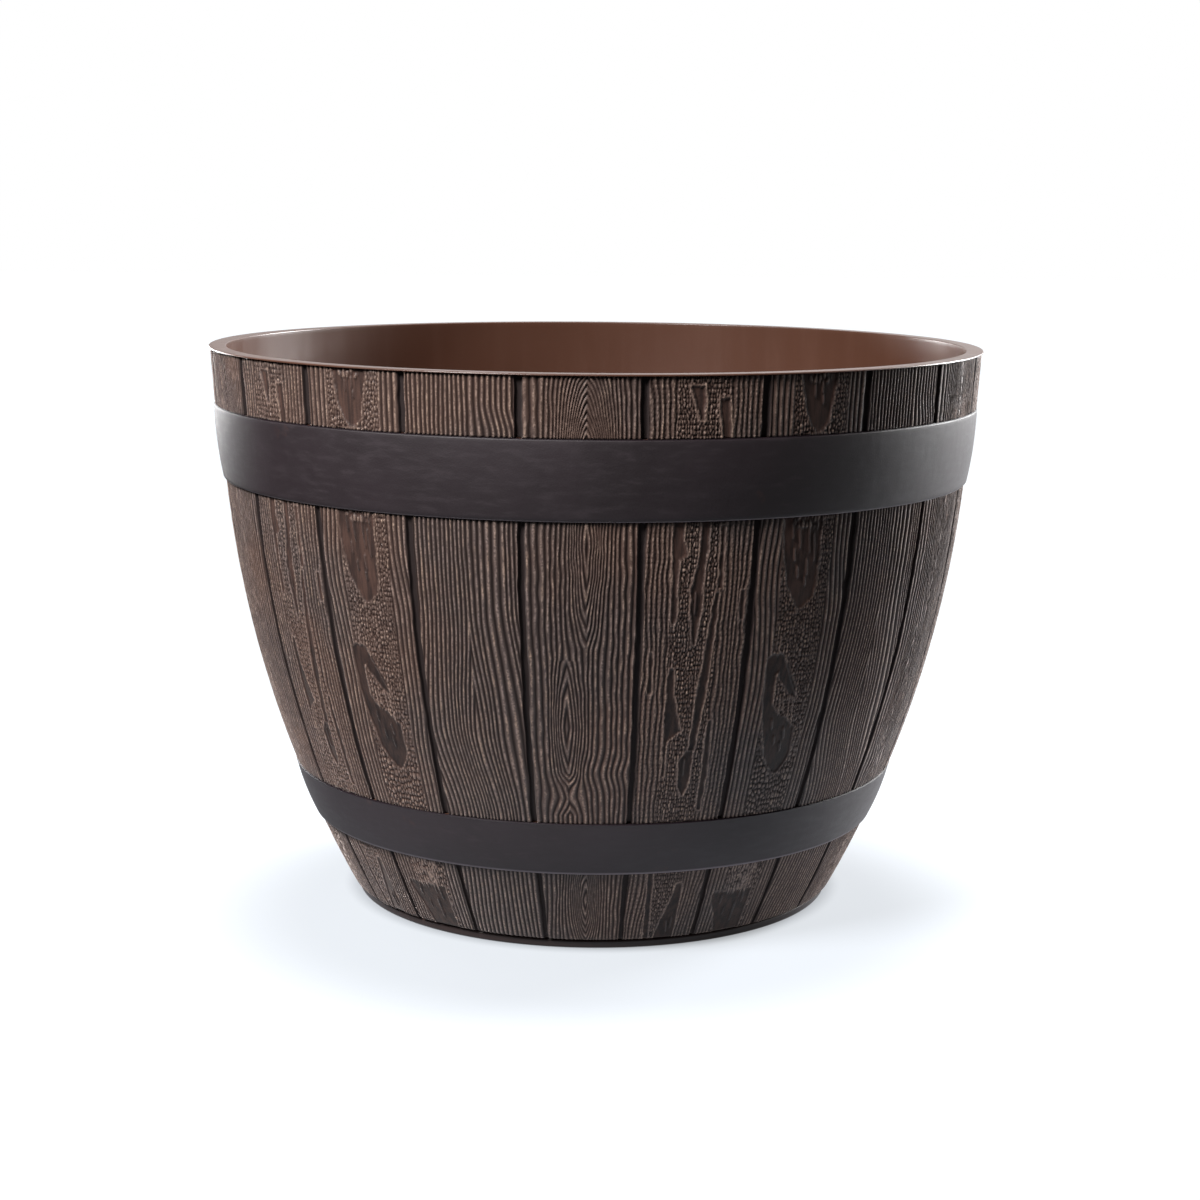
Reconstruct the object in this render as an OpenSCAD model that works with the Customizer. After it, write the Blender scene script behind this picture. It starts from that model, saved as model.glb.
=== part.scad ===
// Half barrel planter moulded in wood-grained plastic, with two hoops and push-in drain plugs.
// Millimetres, +Z up. The origin is on the ground, at the centre of the foot ring.
// The photographed front faces -Y.

/* [Barrel] */
// Height from the ground to the top of the rim
barrel_h = 282; // [250:1:320]
// Outer radius of the rim
rim_r = 196; // [180:0.5:215]
// Width of the rim's flat top, from its outside edge to its inside edge
rim_w = 8.7; // [7:0.1:10]
// How far the bead round the rim stands out from the top of the collar
bead_out = 0.8; // [0.4:0.1:2]
// Height of the bead round the rim
bead_h = 0.8; // [0.8:0.1:5]
// Rounding of the rim's two edges
rim_round = 0.6; // [0.4:0.1:1.2]
// Thickness of the wall between the floor and the collar
wall_t = 5.2; // [4.5:0.1:7]
// Thickness of the floor
floor_t = 6; // [4:0.5:9]
// Fillet between the floor and the wall, inside
floor_fillet = 12; // [4:0.5:20]

/* [Staves] */
// Number of staves moulded round the wall
stave_count = 22; // [16:1:28]
// Direction of the middle of one gap between two staves, in degrees from +X
gap_turn = -83.6; // [-90:0.1:-75]
// Angle that a gap between two staves takes up
gap_angle = 1.05; // [0.8:0.05:2]
// Depth of the gaps below the faces of the staves
gap_depth = 1.8; // [1:0.1:2.5]
// How far the gaps run in under the edges of the hoops
gap_under = 1.5; // [0.5:0.1:4]
// How far the lower ends of the staves stand out over the foot ring
toe_out = 2.6; // [2.6:0.1:6]
// How far the staves bow out from a straight line between foot and upper hoop
stave_bow = 11; // [7:0.5:14]
// Height of the collar above the upper hoop, up to the top of the rim
collar_h = 28.4; // [20:0.1:45]
// How much the radius of the collar grows from the upper hoop to the bead
collar_flare = 1.8; // [0:0.1:4]
// How far the staves under the upper hoop lie inside the collar above it
shoulder_in = 5; // [3:0.1:7]

/* [Hoops] */
// Width of the upper hoop, edge to edge
upper_hoop_w = 37.2; // [25:0.1:45]
// Height of the lower edge of the lower hoop above the ground
lower_hoop_z = 43.2; // [30:0.1:70]
// Width of the lower hoop, edge to edge
lower_hoop_w = 27.4; // [18:0.1:40]
// Thickness of the hoops
hoop_t = 1.1; // [0.8:0.1:2]
// How far the upper edge of a hoop stands out from the staves above it
hoop_proud = 0.2; // [0.1:0.1:0.6]
// How far the face of a hoop bows out between its edges
hoop_bow = 0.9; // [0.3:0.1:1.2]
// Bevel along the outer edges of the hoops
hoop_bevel = 0.3; // [0.1:0.1:0.5]
// Clearance between a hoop and its seat
hoop_gap = 0.1; // [0.05:0.05:0.2]

/* [Foot] */
// Outer radius of the foot ring
foot_r = 122.8; // [110:0.1:135]
// Height of the foot ring below the ends of the staves
foot_h = 5; // [3:0.5:8]
// Width of the foot ring
foot_w = 9; // [6:0.5:14]
// Rounding of the foot ring's edges
foot_round = 1.6; // [0.3:0.1:2]
// Height of the hollow under the floor
hollow_h = 6.5; // [5:0.5:10]
// Number of stiffening ribs under the floor
rib_count = 8; // [4:4:16]
// Thickness of a rib
rib_t = 3; // [2:0.5:5]
// Height of a rib below the floor
rib_h = 4; // [2:0.5:4.5]

/* [Drains] */
// Number of drain holes round the middle one
drain_count = 4; // [2:1:5]
// Radius of the circle that the outer drain holes lie on
drain_circle_r = 72; // [50:1:85]
// Radius of a drain hole
drain_r = 8; // [6:0.5:10]
// Width of the collar round a drain hole, under the floor
drain_collar_w = 4; // [3:0.5:6]
// Height of that collar below the floor
drain_collar_h = 3; // [1:0.5:4]
// Depth of the recess in the floor that the head of a plug sits in
recess_h = 1.2; // [0.5:0.1:2.5]

/* [Plugs] */
// Clearance of the stem of a plug in its hole, on the radius
plug_fit = 0.05; // [0.02:0.01:0.1]
// How far the head of a plug reaches past the edge of the hole
head_over = 4.5; // [3:0.5:6]
// Clearance round the head of a plug in its recess
head_gap = 0.5; // [0.3:0.1:1]
// Thickness of the head
head_t = 2.8; // [2:0.1:5]
// Rounding of the head's upper edge
head_round = 1.2; // [0.5:0.1:1.8]
// How far the stem comes out below the collar of the drain hole
stem_out = 0.8; // [0.3:0.1:1.5]
// Bevel round the lower end of the stem
stem_bevel = 0.6; // [0.3:0.1:1.2]
// Wall of the hollow stem
stem_wall = 2; // [1.5:0.1:3.5]
// Length of the finger grip across the head
grip_l = 15; // [12:1:18]
// Thickness of the finger grip
grip_t = 3; // [2:0.1:5]
// Height of the finger grip above the head
grip_h = 6; // [4:0.5:10]
// Rounding of the upper corners of the finger grip
grip_round = 3; // [1:0.5:3.5]

/* [Hidden] */
$fn = 180;

bark = "#6b5243";
iron = "#39343a";
rubber = "#242426";

past = 1;
far = 2 * rim_r;
// Longest step in height along a bowed outline
arc_step = 12;

// An arc is [centre x, centre z, radius]. This one joins p to q above it and bows outwards.
function bowed_arc(p, q, bow) =
  let (
    chord = norm(q - p),
    radius = (chord * chord / 4 + bow * bow) / (2 * bow),
    out = [q.y - p.y, p.x - q.x] / chord,
    centre = (p + q) / 2 - out * (radius - bow)
  ) [centre.x, centre.y, radius];

// The arc through three points
function arc_through(a, b, c) =
  let (
    d = 2 * (a.x * (b.y - c.y) + b.x * (c.y - a.y) + c.x * (a.y - b.y)),
    x = (a * a * (b.y - c.y) + b * b * (c.y - a.y) + c * c * (a.y - b.y)) / d,
    z = (a * a * (c.x - b.x) + b * b * (a.x - c.x) + c * c * (b.x - a.x)) / d
  ) [x, z, norm(a - [x, z])];

// Radius of an arc's outline at height z
function arc_r(arc, z) = arc[0] + sqrt(arc[2] * arc[2] - (z - arc[1]) * (z - arc[1]));

// The same arc moved outwards
function moved_out(arc, by) = [arc[0] + by, arc[1], arc[2]];

// The collar, a plain cone between the upper hoop and the bead
collar_z = barrel_h - collar_h;
bead_z = barrel_h - bead_h;
collar_top_r = rim_r - bead_out;
collar_r = collar_top_r - collar_flare;

// Outline of the staves, one arc from their toes to the upper hoop
upper_hoop_z = collar_z - upper_hoop_w;
shoulder_r = collar_r - shoulder_in;
stave_arc = bowed_arc([foot_r + toe_out, foot_h], [shoulder_r, upper_hoop_z], stave_bow);

// Seats of the hoops: flush with the staves below, with a ledge under the staves above
ledge = hoop_t - hoop_proud;
lower_top_z = lower_hoop_z + lower_hoop_w;
upper_seat = bowed_arc([shoulder_r, upper_hoop_z], [collar_r - ledge, collar_z], hoop_bow);
lower_seat = bowed_arc(
  [arc_r(stave_arc, lower_hoop_z), lower_hoop_z],
  [arc_r(stave_arc, lower_top_z) - ledge, lower_top_z],
  hoop_bow
);

// The inside, one arc that keeps the wall's thickness at the floor and half way up
floor_z = hollow_h + floor_t;
mid_z = (floor_z + barrel_h) / 2;
inner_arc = arc_through(
  [arc_r(stave_arc, floor_z) - wall_t, floor_z],
  [arc_r(stave_arc, mid_z) - wall_t, mid_z],
  [rim_r - rim_w, barrel_h]
);
fillet_z = floor_z + floor_fillet;
fillet_r = arc_r([inner_arc[0], inner_arc[1], inner_arc[2] - floor_fillet], fillet_z);

// Places of the drain holes, the middle one first
function drain_place(i) =
  let (turn = 90 - 360 * i / drain_count)
  i == 0 ? [0, 0] : drain_circle_r * [cos(turn), sin(turn)];
head_z = floor_z - recess_h;
drain_end_z = hollow_h - drain_collar_h;

// Points along an arc's outline between two heights, and the same without the first one
function edge(arc, z0, z1) =
  let (steps = ceil((z1 - z0) / arc_step))
  [for (i = [0 : steps]) let (z = z0 + (z1 - z0) * i / steps) [arc_r(arc, z), z]];
function but_first(list) = [for (i = [1 : len(list) - 1]) list[i]];

// Everything inside an arc's outline between two heights, in the half section
module inside(arc, z0, z1) {
  polygon(concat([[0, z0]], edge(arc, z0, z1), [[0, z1]]));
}

// What a rounding takes off a corner at the origin, whose solid lies at -x and below
module corner_cut(r) {
  difference() {
    translate([-r, -r]) square(r + past);
    translate([-r, -r]) circle(r = r);
  }
}

// Half section of the wall's outside, from the ground up, with plain seats for the hoops
module outside_section() {
  polygon(concat(
    [[0, 0], [foot_r, 0], [foot_r, foot_h]],
    edge(stave_arc, foot_h, lower_hoop_z),
    but_first(edge(lower_seat, lower_hoop_z, lower_top_z)),
    edge(stave_arc, lower_top_z, upper_hoop_z),
    but_first(edge(upper_seat, upper_hoop_z, collar_z)),
    [[collar_r, collar_z], [collar_top_r, bead_z], [rim_r, bead_z], [rim_r, barrel_h]],
    [[0, barrel_h]]
  ));
}

// Half section of the space inside the wall, filleted at the floor
module inside_section() {
  difference() {
    inside(inner_arc, floor_z, barrel_h);
    difference() {
      translate([fillet_r, floor_z - past]) square([far, floor_fillet + past]);
      translate([fillet_r, fillet_z]) circle(r = floor_fillet);
    }
  }
  translate([0, barrel_h - past]) square([rim_r - rim_w, 2 * past]);
}

module wall() {
  hollow_r = foot_r - foot_w;
  rotate_extrude() difference() {
    outside_section();
    inside_section();
    translate([0, -past]) square([hollow_r, hollow_h + past]);
    translate([rim_r, barrel_h]) corner_cut(rim_round);
    translate([rim_r - rim_w, barrel_h]) mirror([1, 0]) corner_cut(rim_round);
    translate([foot_r, 0]) mirror([0, 1]) corner_cut(foot_round);
    translate([hollow_r, 0]) mirror([0, 1]) mirror([1, 0]) corner_cut(foot_round);
  }
}

// Half section of what lies outside the floor of a gap, between two heights
module gap_strip(z0, z1) {
  difference() {
    translate([foot_r / 2, z0]) square([far, z1 - z0]);
    inside(moved_out(stave_arc, -gap_depth), z0 - past, z1 + past);
  }
}

module gaps() {
  collar_end_z = collar_z - gap_under;
  for (i = [0 : stave_count - 1])
    rotate(gap_turn - gap_angle / 2 + i * 360 / stave_count)
      rotate_extrude(angle = gap_angle) {
        gap_strip(foot_h - past, lower_hoop_z + gap_under);
        gap_strip(lower_top_z - gap_under, upper_hoop_z + gap_under);
        translate([-gap_depth, 0])
          polygon([[collar_r, collar_end_z], [far, collar_end_z], [far, bead_z], [collar_top_r, bead_z]]);
      }
}

module ribs() {
  for (i = [0 : rib_count - 1])
    rotate((i + 0.5) * 360 / rib_count)
      translate([0, -rib_t / 2, hollow_h - rib_h])
        cube([foot_r - foot_w / 2, rib_t, rib_h + past]);
}

module drain_collars() {
  for (i = [0 : drain_count])
    translate([drain_place(i).x, drain_place(i).y, drain_end_z])
      cylinder(r = drain_r + drain_collar_w, h = drain_collar_h + past);
}

module drain_holes() {
  for (i = [0 : drain_count])
    translate(drain_place(i)) {
      translate([0, 0, -past]) cylinder(r = drain_r, h = floor_z + 2 * past);
      translate([0, 0, head_z]) cylinder(r = drain_r + head_over + head_gap, h = recess_h + past);
    }
}

module barrel_shell() {
  color(bark) difference() {
    union() {
      wall();
      ribs();
      drain_collars();
    }
    gaps();
    drain_holes();
  }
}

// A hoop lies on its seat: its section is the seat's outline moved outwards
module hoop(seat, z0, z1) {
  face = moved_out(seat, hoop_t);
  top = z1 - hoop_gap;
  rotate_extrude() difference() {
    inside(face, z0, z1);
    inside(moved_out(seat, hoop_gap), z0 - past, z1 + past);
    translate([0, top]) square([far, past]);
    for (z = [z0, top])
      translate([arc_r(face, z), z]) rotate(45) square(hoop_bevel * sqrt(2), center = true);
  }
}

module upper_hoop() {
  color(iron) hoop(upper_seat, upper_hoop_z, collar_z);
}

module lower_hoop() {
  color(iron) hoop(lower_seat, lower_hoop_z, lower_top_z);
}

// Outline of the finger grip, seen from its broad side
module grip_outline() {
  half = grip_l / 2 - grip_round;
  translate([-grip_l / 2, -past]) square([grip_l, grip_h - grip_round + past]);
  translate([-half, 0]) square([2 * half, grip_h]);
  for (x = [-half, half])
    translate([x, grip_h - grip_round]) circle(r = grip_round);
}

module drain_plug(i) {
  stem_r = drain_r - plug_fit;
  stem_z = drain_end_z - stem_out;
  head_r = drain_r + head_over;
  head_top = head_z + head_t;
  color(rubber) translate(drain_place(i)) {
    rotate_extrude() difference() {
      union() {
        translate([0, head_z]) square([head_r, head_t]);
        translate([0, stem_z]) square([stem_r, head_z - stem_z + past]);
      }
      translate([0, stem_z - past]) square([stem_r - stem_wall, head_z - stem_z + past]);
      translate([stem_r, stem_z]) rotate(45) square(stem_bevel * sqrt(2), center = true);
      translate([head_r, head_top]) corner_cut(head_round);
    }
    translate([0, grip_t / 2, head_top]) rotate([90, 0, 0]) linear_extrude(grip_t) grip_outline();
  }
}

barrel_shell();
upper_hoop();
lower_hoop();
for (i = [0 : drain_count])
  drain_plug(i);
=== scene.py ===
import math

import bpy
import numpy as np
from mathutils import Matrix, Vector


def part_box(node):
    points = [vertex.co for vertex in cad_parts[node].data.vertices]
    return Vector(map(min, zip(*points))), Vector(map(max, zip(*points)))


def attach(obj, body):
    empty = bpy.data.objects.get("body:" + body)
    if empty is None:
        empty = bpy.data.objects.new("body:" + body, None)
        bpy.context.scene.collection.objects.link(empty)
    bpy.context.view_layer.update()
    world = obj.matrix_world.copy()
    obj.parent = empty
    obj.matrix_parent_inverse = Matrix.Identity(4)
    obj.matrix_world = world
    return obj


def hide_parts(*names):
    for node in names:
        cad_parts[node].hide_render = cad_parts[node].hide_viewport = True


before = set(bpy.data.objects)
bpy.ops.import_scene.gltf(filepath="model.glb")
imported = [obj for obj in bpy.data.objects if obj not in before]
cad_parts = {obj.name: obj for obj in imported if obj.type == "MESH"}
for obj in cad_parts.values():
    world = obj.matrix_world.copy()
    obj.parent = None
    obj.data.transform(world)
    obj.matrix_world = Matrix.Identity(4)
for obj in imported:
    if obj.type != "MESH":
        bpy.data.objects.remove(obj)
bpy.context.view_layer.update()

# Sizes, as in the CAD model
BARREL_H, RIM_R, RIM_W, RIM_ROUND = 282.0, 196.0, 8.7, 0.6
BEAD_Z, COLLAR_Z, HOOP_Z = 281.2, 253.6, 216.4
COLLAR_TOP_R, COLLAR_R, SHOULDER_R = 195.2, 193.4, 188.4
LOWER_HOOP_Z, LOWER_TOP_Z = 43.2, 70.6
HOOP_T, LEDGE, HOOP_BOW, HOOP_GAP = 1.1, 0.9, 0.9, 0.1
FOOT_R, FOOT_H, FOOT_W, FOOT_ROUND = 122.8, 5.0, 9.0, 1.6
TOE_OUT, STAVE_BOW = 2.6, 11.0
FLOOR_Z, HOLLOW_H, FILLET = 12.5, 6.5, 12.0
WALL_T = 5.2
STAVES, GAP_TURN, GAP_DEPTH = 22, -83.6, 1.8
RIB_COUNT, RIB_T, RIB_H = 8, 3.0, 4.0
DRAIN_R, DRAIN_CIRCLE_R = 8.0, 72.0
DRAIN_COLLAR_W, DRAIN_COLLAR_H, RECESS_W = 4.0, 3.0, 5.0
HEAD_Z, HEAD_T, HEAD_R = 11.3, 2.8, 12.5
STEM_R, STEM_BORE_R, STEM_Z = 7.95, 5.95, 2.7

# Sizes of the looks alone: how deep the grain is, how far the staves reach into the wall behind
# them, how far that wall lies under their faces, and where the floor's plate meets the wall
GRAIN_DEPTH, STAVE_BACK, SKIN = 0.85, 3.0, 2.2
PLATE_R = 112.0

DRAINS = [(0.0, 0.0)] + [
    (x * DRAIN_CIRCLE_R, y * DRAIN_CIRCLE_R) for x, y in ((0, -1), (-1, 0), (0, 1), (1, 0))
]


def bowed_arc(p, q, bow):
    """The arc (centre r, centre z, radius) that joins p to q above it and bows outwards"""
    chord = math.dist(p, q)
    radius = (chord * chord / 4 + bow * bow) / (2 * bow)
    out = ((q[1] - p[1]) / chord, (p[0] - q[0]) / chord)
    return tuple((p[i] + q[i]) / 2 - out[i] * (radius - bow) for i in (0, 1)) + (radius,)


def arc_r(arc, z):
    """Radius of the barrel where an arc is at height z"""
    return arc[0] + np.sqrt(arc[2] ** 2 - (z - arc[1]) ** 2)


def arc_through(a, b, c):
    """The arc (centre r, centre z, radius) through three points"""
    d = 2 * (a[0] * (b[1] - c[1]) + b[0] * (c[1] - a[1]) + c[0] * (a[1] - b[1]))
    aa, bb, cc = (p[0] ** 2 + p[1] ** 2 for p in (a, b, c))
    r = (aa * (b[1] - c[1]) + bb * (c[1] - a[1]) + cc * (a[1] - b[1])) / d
    z = (aa * (c[0] - b[0]) + bb * (a[0] - c[0]) + cc * (b[0] - a[0])) / d
    return (r, z, math.dist(a, (r, z)))


STAVE_ARC = bowed_arc((FOOT_R + TOE_OUT, FOOT_H), (SHOULDER_R, HOOP_Z), STAVE_BOW)
UPPER_SEAT = bowed_arc((SHOULDER_R, HOOP_Z), (COLLAR_R - LEDGE, COLLAR_Z), HOOP_BOW)
LOWER_SEAT = bowed_arc(
    (arc_r(STAVE_ARC, LOWER_HOOP_Z), LOWER_HOOP_Z),
    (arc_r(STAVE_ARC, LOWER_TOP_Z) - LEDGE, LOWER_TOP_Z),
    HOOP_BOW,
)
MID_Z = (FLOOR_Z + BARREL_H) / 2
INNER_ARC = arc_through(
    (arc_r(STAVE_ARC, FLOOR_Z) - WALL_T, FLOOR_Z),
    (arc_r(STAVE_ARC, MID_Z) - WALL_T, MID_Z),
    (RIM_R - RIM_W, BARREL_H),
)


def collar_r(z):
    """Radius of the collar's staves, a cone"""
    return COLLAR_R + (COLLAR_TOP_R - COLLAR_R) * (z - COLLAR_Z) / (BEAD_Z - COLLAR_Z)


# Relief of the stave faces

# In a face x runs across the stave, half a stave to each side of its middle, and z is the height. A
# face returns its relief, from 0 in the grooves to 1 on the ridges, and where it is a smooth patch.
HALF_STAVE = 25
LATTICE = 64


def smoothstep(low, high, value):
    """0 at low, 1 at high and a smooth rise between them; low may be above high"""
    t = np.clip((value - low) / (high - low), 0, 1)
    return t * t * (3 - 2 * t)


def noise(x, z, seed):
    """Smooth noise from -1 to 1, with features about 1 unit apart"""
    table = np.random.default_rng(seed).uniform(-1, 1, (LATTICE, LATTICE))
    i, j = np.floor(x).astype(int), np.floor(z).astype(int)
    u, v = x - i, z - j
    u, v = u * u * (3 - 2 * u), v * v * (3 - 2 * v)
    corner = [[table[(i + a) % LATTICE, (j + b) % LATTICE] for b in (0, 1)] for a in (0, 1)]
    low = corner[0][0] * (1 - u) + corner[1][0] * u
    high = corner[0][1] * (1 - u) + corner[1][1] * u
    return low * (1 - v) + high * v


def pebbles(x, z, seed):
    """Pebbles about 1 unit apart: 1 on top of each and 0 in the grooves between them"""
    table = np.random.default_rng(seed).uniform(0.12, 0.88, (2, LATTICE, LATTICE))
    i, j = np.floor(x).astype(int), np.floor(z).astype(int)
    first = np.full(np.shape(x), 9.0)
    second = first.copy()
    for a in (-1, 0, 1):
        for b in (-1, 0, 1):
            place = (i + a) % LATTICE, (j + b) % LATTICE
            away = np.hypot(i + a + table[0][place] - x, j + b + table[1][place] - z)
            second = np.minimum(second, np.maximum(first, away))
            first = np.minimum(first, away)
    return smoothstep(0.0, 0.42, second - first)


def ridge(phase, sharp=1.0):
    """Parallel ridges, one for each whole number of the phase"""
    return (0.5 + 0.5 * np.cos(2 * np.pi * phase)) ** sharp


def span(x, z, rows):
    """Distance to the edge of a patch; below 0 inside it. Rows (z, left, right) run downwards."""
    heights, lefts, rights = zip(*rows[::-1])
    sides = np.maximum(np.interp(z, heights, lefts) - x, x - np.interp(z, heights, rights))
    return np.maximum(sides, np.maximum(z - heights[-1], heights[0] - z))


def oval(x, z, x0, z0, wide, up, down):
    """1 at a point and falling off to 0 at the given lengths above and below it"""
    along = np.clip(1 - np.abs(z - z0) / np.where(z > z0, up, down), 0, 1)
    return np.exp(-0.5 * ((x - x0) / wide) ** 2) * along * (1.6 - 0.6 * along)


def with_patches(height, x, z, patches, lip, seed):
    """Sinks smooth patches into a relief, with a lip round them. Returns the relief and the patches."""
    away = np.full(np.shape(x), 99.0)
    for rows in patches:
        away = np.minimum(away, span(x, z, rows))
    away = away + 0.4 * noise(x / 2.3, z / 4.1, seed) + 0.15 * noise(x, z / 1.6, seed + 1)
    inside = smoothstep(0.3, -0.3, away)
    line = lip * np.exp(-(((away - 0.8) / 0.6) ** 2)) * (away > 0)
    return np.maximum(height, line) * (1 - inside) + 0.1 * inside, inside


def with_strokes(height, x, z, strokes):
    """Adds raised strokes, each from (x, z) to (x, z) with a half width"""
    for x0, z0, x1, z1, half in strokes:
        dx, dz = x1 - x0, z1 - z0
        t = np.clip(((x - x0) * dx + (z - z0) * dz) / (dx * dx + dz * dz), 0, 1)
        away = np.hypot(x - x0 - t * dx, z - z0 - t * dz) - half
        height = np.maximum(height, 0.95 * smoothstep(0.3, -0.3, away))
    return height


def side_ridges(x, z, pitch, seed):
    """Straight ridges, a little wavy and worn"""
    drift = 0.55 * noise(x / 9, z / 38, seed) + 0.22 * noise(x / 3, z / 9, seed + 1)
    return ridge((x + drift) / pitch, 0.55) * (0.88 + 0.12 * noise(x / 1.6, z / 3.4, seed + 2))


def knotted_face(x, z):
    """Smooth tongues among pebbles, with straight ridges along both sides of the stave"""
    drift = 0.9 * noise(x / 8, z / 30, 11) + 0.3 * noise(x / 3, z / 7, 12)
    fine = pebbles((x + drift) / 1.45, z / 2.3, 13)
    coarse = pebbles((x + drift) / 1.85, z / 3.0, 14)
    stones = fine + (coarse - fine) * smoothstep(112, 98, z)
    stones = stones * (0.75 + 0.25 * ridge((x + drift) / 1.65))
    bulge = -1.8 * np.exp(-(((z - 190) / 20) ** 2)) + 1.2 * np.exp(-(((z - 135) / 22) ** 2))
    lean = 2.8 * smoothstep(200, 168, z) - 1.6 * smoothstep(128, 100, z)
    left = side_ridges(x - bulge, z, 2.6, 15)
    right = side_ridges(x - lean, z, 2.5, 18)
    edge = 0.7 * noise(z / 22, z * 0, 21)
    height = stones + (left - stones) * smoothstep(-11.2, -12.4, x + edge)
    height = height + (right - height) * smoothstep(13.2, 14.4, x - edge)
    tongues = [
        [(290, -9.2, 8.4), (279, -8.8, 7.8), (267, -6.6, 5.9), (258, -3.4, 4.6), (255.6, -0.6, 2)],
        [
            (222, -12, 6.8), (203, -11.8, 6.6), (192.7, -9.6, 6.6), (184.6, -7.8, 6.4),
            (178.8, -4.6, 5.9), (173.5, -1.2, 0.4),
        ],
        [
            (152, -11, -7), (150.6, -13.3, -5), (146, -13.2, -3.4), (141.4, -12.9, -8.5),
            (132.1, -12.5, -8), (127.5, -12.2, -7.6), (122.8, -11.5, -4.2), (119.7, -11.2, 1.4),
            (114.5, -9.8, 7.4), (107.3, -7.8, 8), (101.1, -6.2, 8.3), (97, -3.9, 6.8), (91.9, 1.3, 3.3),
        ],
        [(147, -6.4, -2.6), (141.4, -6.1, 0.3), (136.8, -2.6, 2.7), (132.1, 1.3, 4.7), (129.4, 4, 5.4)],
        [(28.5, -17.5, 10.6), (27, -18.4, 10.4), (17, -13.5, 10.2), (6.5, -8.8, 10.4), (-5, -6, 10.4)],
    ]
    height, smooth = with_patches(height, x, z, tongues, 0.75, 22)
    # Where grains stand up again inside the tongues
    busy = [
        [(222, -9, 6), (215, -8.6, 5.8), (211, -5, 5.4)],
        [(44, -9, 9), (32, -11, 8), (27, -8, 6)],
        [(290, -6, 5), (278.5, -6, 5), (276.5, -4, 4)],
    ]
    grains = pebbles((x + 0.4 * drift) / 1.9, z / 6.5, 24) ** 2
    for rows in busy:
        spot = smoothstep(0.5, -0.5, span(x, z, rows))
        height = np.maximum(height, spot * grains * 0.9)
        smooth = smooth * (1 - 0.8 * spot * grains)
    strokes = [
        (-2.4, 271.2, -2.6, 275.6, 0.4), (1.2, 272.8, 0.9, 277.4, 0.4), (1.7, 267.8, 1.5, 271.2, 0.4),
        (-8, 214, -7.2, 206.7, 0.4), (-4.3, 211.3, -3.3, 202.4, 0.45), (-6.1, 201.5, -5.5, 196.4, 0.45),
        (-3.7, 192.8, -3.2, 188.8, 0.5), (0.8, 195.9, 1.5, 189.6, 0.5), (0.6, 187.6, 1.1, 184.4, 0.5),
        (0.3, 213.2, 1.8, 199.6, 0.4), (3.3, 207.6, 4.6, 196, 0.45), (4.3, 216, 4.9, 210.4, 0.4),
        (-5.6, 119, -5, 115, 0.5), (-2.6, 110.6, -2.1, 107.6, 0.5), (2.1, 114.2, 2.9, 109.8, 0.55),
        (1.6, 107, 2.2, 103.6, 0.5), (-7.7, 139.4, -7, 127, 0.4), (-3.6, 132, -3, 122, 0.45),
        (-2, 130.4, -0.4, 122.6, 0.4), (1.6, 130.6, 3, 118.8, 0.45), (3.6, 130.6, 5.8, 115, 0.45),
        (-2.9, 147, 0.6, 139.4, 0.35), (0.6, 139.4, 5.4, 130, 0.35), (-7.9, 160.5, -8.2, 151.8, 0.4),
        (-4.1, 151.5, -2.6, 145.5, 0.35), (-10.4, 22.4, -10.4, 26, 0.6), (-6.1, 15.6, -6.1, 18, 0.5),
        (1.5, 11.2, 1.3, 20.6, 0.7), (6, 21.8, 4.6, 33, 0.6), (2.5, 25, 2, 36, 0.5),
    ]
    return with_strokes(height, x, z, strokes), smooth


def straight_face(x, z):
    """Fine, nearly parallel ridges that part low down, as at the edge of a knot"""
    wave = 0.35 * noise(x / 7, z / 26, 31) + 0.12 * noise(x / 2, z / 6, 32)
    spread, shift = smoothstep(178, 112, z), smoothstep(118, 70, z)
    away = x + wave - 0.3 - 7 * shift
    left = np.interp(-away / (1 + 0.28 * spread), [0, 11.7, 60], [0, 6, 29])
    steps = [0, 2, 4.7, 7, 10.1, 13.7, 17.1, 18.8, 20.8, 22.8, 40]
    counts = [0, 1, 2, 3, 4, 5, 6, 7, 8, 9, 17]
    right = np.interp(away / (1 + 0.42 * spread - 0.34 * shift), steps, counts)
    count = np.where(away > 0, right, left) - 2.1 * spread * np.exp(-((away / 9) ** 2))
    collar = x + wave - 2.4 * smoothstep(268, 254, z) * smoothstep(2, 16, x)
    count = np.where(z > 240, np.interp(collar, [-30, 4, 7, 30], [-14.5, 2.5, 3.6, 13.6]), count)
    toe = x + wave + 4.4 * smoothstep(46, 4, z) * smoothstep(18, -18, x)
    count = np.where(z < 50, toe / 2.75, count)
    return ridge(count, 0.6) * (0.9 + 0.1 * noise(x / 1.3, z / 2.6, 33)), np.zeros(np.shape(x))


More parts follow.
